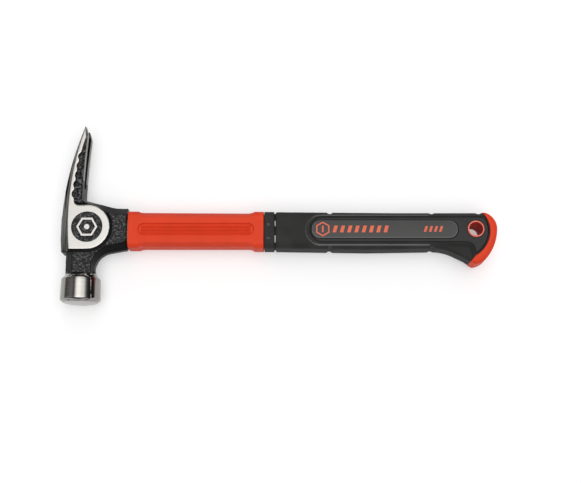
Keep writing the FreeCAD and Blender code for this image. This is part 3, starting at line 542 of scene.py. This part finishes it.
def make_handle():
    red = plastic("red_jacket_plastic", RED, 0.58, 1600, 0.00003, variation=0.04, specular=0.21)
    tube_painted_light = plastic("hang_tube_painted_light", TUBE_PAINTED_SHADE, 0.5, 1600, 0.00003, variation=0.04, specular=0.03,
                       painted_highlight=TUBE_PAINTED_HIGHLIGHT)
    rubber = plastic("grip_rubber", RUBBER, 0.65, 2200, 0.00006, variation=0.15, specular=0.11, painted_highlight=LIP_PAINTED_HIGHLIGHT)
    hard = plastic("panel_plastic", HARD, 0.52, 2600, 0.00003, variation=0.1, specular=0.17)
    plate = plastic("label_plate_plastic", PLATE, 0.34, 3000, 0.00001, variation=0.06, specular=0.25,
                    painted_highlight=LIP_PAINTED_HIGHLIGHT)
    jacket = moulded("shaft_jacket", "jacket", 0.3, 1, end_x=JACKET_REAR)
    deepen_flutes(jacket.data)
    finish_piece(jacket, red, "red_jacket", "shaft_jacket")
    finish_piece(moulded("butt_cap", "cap", 0.3, 5, crown=True), red, "red_jacket", "butt_cap")
    tube = moulded("hang_bush", "hang_tube", 0.2, 3)
    # The tube's flat ends take the lighter colour, a painted highlight; its bore keeps the darker one,
    # painted shade.
    mark(tube.data, "painted_highlight", (np.abs(normals_of(tube.data)[:, 2]) - 0.5) * 2)
    finish_piece(tube, tube_painted_light, "red_jacket", "hang_bush")
    finish_piece(moulded("grip_front_ring", "front_ring", 0.3, 3), rubber, "soft_black", "grip_front_ring")
    grip = moulded("soft_grip", "grip", 0.4, 3, crown=True)
    # A painted highlight along the raised pad's edge, on its front part only.
    mark_highlight_line(grip.data, RAISED_PAD, 0.9, 271.0)
    finish_piece(grip, rubber, "soft_black", "soft_grip")
    for side in ("left", "right"):
        finish_piece(moulded("side_panel_" + side, "panel_" + side, 0.3, 2, crown=True, most=120000),
                     hard, "hard_black", "side_panel_" + side)
        label = moulded("label_plate_" + side, "plate_" + side, 0.25, 2, crown=True, most=80000)
        # A painted highlight along the label plate's edge.
        mark_highlight_line(label.data, LABEL_PLATE, 0.6, LABEL_PLATE[1])
        finish_piece(label, plate, "label_black", "label_plate_" + side)
    core = plastic("fibreglass", (0.55, 0.50, 0.30), 0.5, 3000, 0.00005, variation=0.2)
    epoxy = plastic("epoxy", (0.02, 0.02, 0.022), 0.3, 900, 0.00002, variation=0.1)
    for node, material in (("handle_core", core), ("eye_epoxy", epoxy)):
        frame["nodes"][node].data.materials.clear()
        frame["nodes"][node].data.materials.append(material)


PRINT_HEIGHT = 13.38                # height of the print's outer face, a little proud of the label plate
PRINT_Y = -0.9
BADGE_X = 186.8
BADGE_RADIUS = 6.0
BADGE_LINE = 1.15
BAR_SLANT = 1.5
WIDE_ROW = (8, 196.6, 5.75, 2.8, 2.75)          # number of bars, first one's place, pitch, width, half height
NARROW_ROW = (4, 268.2, 4.0, 1.9, 2.3)
GROOVE_X = 149.15                   # the middle of the groove between the front ring and the grip
GROOVE_HIGHLIGHT_WIDTH = 1.0
MARK_X = 143.8


def bar_shape(x, width, low, high, slant=0.0):
    """A four-cornered bar between two heights, leaning by slant."""
    return [
        (x - width / 2 - slant / 2, low),
        (x + width / 2 - slant / 2, low),
        (x + width / 2 + slant / 2, high),
        (x - width / 2 + slant / 2, high),
    ]


def hexagon_shapes(x, y, outer, inner):
    """A hexagon ring that stands on a corner, as six four-cornered pieces."""
    shapes = []
    for number in range(6):
        start = math.radians(60 * number - 30)
        end = math.radians(60 * number + 30)
        shapes.append([
            (x + outer * math.cos(start), y + outer * math.sin(start)),
            (x + outer * math.cos(end), y + outer * math.sin(end)),
            (x + inner * math.cos(end), y + inner * math.sin(end)),
            (x + inner * math.cos(start), y + inner * math.sin(start)),
        ])
    return shapes


def make_prisms(name, shapes, top, depth, sign, material, slot):
    """Thin solid pieces with these outlines, on one side of the handle, that follow the grip's crown."""
    work = bmesh.new()
    for shape in shapes:
        rows = []
        for height in (top, top - depth):
            corners = crowned(np.array([(x, y, height) for x, y in shape])) * np.array((1, 1, sign))
            rows.append([work.verts.new(corner) for corner in to_frame(corners)])
        upper, lower = rows
        work.faces.new(upper)
        work.faces.new(lower[::-1])
        for index in range(len(upper)):
            after = (index + 1) % len(upper)
            work.faces.new((upper[index], lower[index], lower[after], upper[after]))
    bmesh.ops.recalc_face_normals(work, faces=work.faces)
    mesh = bpy.data.meshes.new(name)
    work.to_mesh(mesh)
    work.free()
    finish_piece(new_object(name, mesh), material, slot)


def make_print():
    """The orange print on each label plate, the small marks on the front ring, and two light bars in the
    groove by it, which are painted highlights.
    """
    orange = plastic("orange_print", PRINT, 0.5, 2500, 0.00001, variation=0.05)
    groove_highlight = plastic("groove_painted_highlight", PAINTED_GROOVE_HIGHLIGHT, 0.4, 2500, 0.00001, variation=0.05)
    grey = plastic("ring_mark", GREY, 0.4, 2500, 0.00001, variation=0.05)
    badge = hexagon_shapes(BADGE_X, PRINT_Y, BADGE_RADIUS, BADGE_RADIUS - BADGE_LINE)
    badge.append(bar_shape(BADGE_X, 1.3, PRINT_Y - 2.6, PRINT_Y + 2.6))
    for side, sign in (("left", 1), ("right", -1)):
        shapes = list(badge)
        for count, first, pitch, width, reach in (WIDE_ROW, NARROW_ROW):
            for number in range(count):
                shapes.append(bar_shape(
                    first + pitch * number, width, PRINT_Y - reach, PRINT_Y + reach, BAR_SLANT * sign))
        make_prisms("print_" + side, shapes, PRINT_HEIGHT, 0.3, sign, orange, "label_black")
        # Light bars in the groove between the front ring and the grip: painted highlights.
        bars = [bar_shape(GROOVE_X, GROOVE_HIGHLIGHT_WIDTH, 1.9, 6.2), bar_shape(GROOVE_X, GROOVE_HIGHLIGHT_WIDTH, -11.2, -5.7)]
        make_prisms("groove_painted_highlights_" + side, bars, 11.5, 1.2, sign, groove_highlight, "soft_black")
        marks = hexagon_shapes(MARK_X, 3.0, 1.2, 0.6)
        marks += [bar_shape(MARK_X, 2.6, -8.3, -7.6), bar_shape(MARK_X + 0.6, 1.4, -10.0, -9.1)]
        make_prisms("ring_marks_" + side, marks, 12.25, 0.8, sign, grey, "soft_black")


# ---- Stage, light and camera --------------------------------------------------------------------------

def make_stage():
    mesh = bpy.data.meshes.new("floor")
    half = 3.0
    corners = [(-half, -half, 0), (half, -half, 0), (half, half, 0), (-half, half, 0)]
    mesh.from_pydata(corners, [], [(0, 1, 2, 3)])
    floor = new_object("floor", mesh)
    material, nodes, links = new_material("floor_white")
    shader = nodes["Principled BSDF"]
    shader.inputs["Base Color"].default_value = (0.62, 0.62, 0.62, 1)
    shader.inputs["Roughness"].default_value = 0.9
    shader.inputs["Specular IOR Level"].default_value = 0.0
    shader.inputs["Emission Color"].default_value = (1, 1, 1, 1)
    shader.inputs["Emission Strength"].default_value = 0.36
    mesh.materials.append(material)


ACROSS_LIGHT = [                    # (degrees from overhead towards +X, brightness)
    (-180, 0.10), (-92, 0.11), (-52, 0.13), (-40, 0.13), (-34, 0.07), (-29, 0.02), (-26, 0.03),
    (-21, 0.3), (-15, 0.75), (-8, 1.0), (8, 1.0), (14, 0.8), (25, 0.77), (30, 0.62), (35, 0.38), (41, 0.1),
    (47, 0.025), (53, 0.015), (100, 0.015), (180, 0.10),
]
ALONG_LIGHT = [                     # (degrees from overhead towards +Y, brightness)
    (-180, 0.15), (-80, 0.07), (-50, 0.16), (-31, 1.0), (6, 1.0), (16, 0.8), (26, 0.5), (42, 0.38),
    (90, 0.38), (180, 0.38),
]
SKY_STRENGTH = 3.6


def sky_angle(nodes, links, axis, up):
    """The angle of a sky direction from overhead towards one axis, as 0 to 1 for -180 to 180 degrees."""
    angle = nodes.new("ShaderNodeMath")
    angle.operation = "ARCTAN2"
    links.new(axis, angle.inputs[0])
    links.new(up, angle.inputs[1])
    spread = nodes.new("ShaderNodeMapRange")
    spread.inputs["From Min"].default_value = -math.pi
    spread.inputs["From Max"].default_value = math.pi
    links.new(angle.outputs["Value"], spread.inputs["Value"])
    return spread.outputs["Result"]


def make_light():
    """A long soft box overhead, drawn on the sky: narrow across the handle's length, and dark beside it."""
    world = bpy.data.worlds.new("studio")
    world.use_nodes = True
    nodes, links = world.node_tree.nodes, world.node_tree.links
    place = nodes.new("ShaderNodeTexCoord")
    parts = nodes.new("ShaderNodeSeparateXYZ")
    links.new(place.outputs["Generated"], parts.inputs["Vector"])
    shades = []
    for axis, stops in (("X", ACROSS_LIGHT), ("Y", ALONG_LIGHT)):
        angle = sky_angle(nodes, links, parts.outputs[axis], parts.outputs["Z"])
        shades.append(ramp(nodes, links, angle, [((degrees + 180) / 360, level) for degrees, level in stops]))
    product = nodes.new("ShaderNodeMix")
    product.data_type = "RGBA"
    product.blend_type = "MULTIPLY"
    product.inputs["Factor"].default_value = 1.0
    links.new(shades[0], product.inputs["A"])
    links.new(shades[1], product.inputs["B"])
    links.new(product.outputs["Result"], nodes["Background"].inputs["Color"])
    nodes["Background"].inputs["Strength"].default_value = SKY_STRENGTH
    # Beyond the floor's edge the sky itself shows as a plain pale backdrop.
    plain = nodes.new("ShaderNodeBackground")
    plain.inputs["Color"].default_value = (0.85, 0.85, 0.85, 1)
    path = nodes.new("ShaderNodeLightPath")
    mix = nodes.new("ShaderNodeMixShader")
    links.new(path.outputs["Is Camera Ray"], mix.inputs["Fac"])
    links.new(nodes["Background"].outputs["Background"], mix.inputs[1])
    links.new(plain.outputs["Background"], mix.inputs[2])
    links.new(mix.outputs["Shader"], nodes["World Output"].inputs["Surface"])
    bpy.context.scene.world = world
    bpy.context.scene.view_settings.view_transform = "Standard"


CAMERA_LENS = 66.9                  # millimetres, on a sensor 36 mm wide
CAMERA_DISTANCE = 0.864
CAMERA_ELEVATION = 78.0             # degrees above the floor
CAMERA_AIM = (161.3, -8.2, 0.0)     # millimetres from the eye's centre


def make_camera():
    lens = bpy.data.cameras.new("camera")
    lens.lens = CAMERA_LENS
    lens.sensor_width = 36.0
    camera = bpy.data.objects.new("camera", lens)
    bpy.context.scene.collection.objects.link(camera)
    aim = Vector(to_frame(np.array(CAMERA_AIM)))
    rise = math.radians(CAMERA_ELEVATION)
    camera.location = aim + Vector((0, -math.cos(rise), math.sin(rise))) * CAMERA_DISTANCE
    camera.rotation_euler = (math.pi / 2 - rise, 0, 0)
    bpy.context.scene.camera = camera


make_head()
make_handle()
make_print()
make_stage()
make_light()
make_camera()
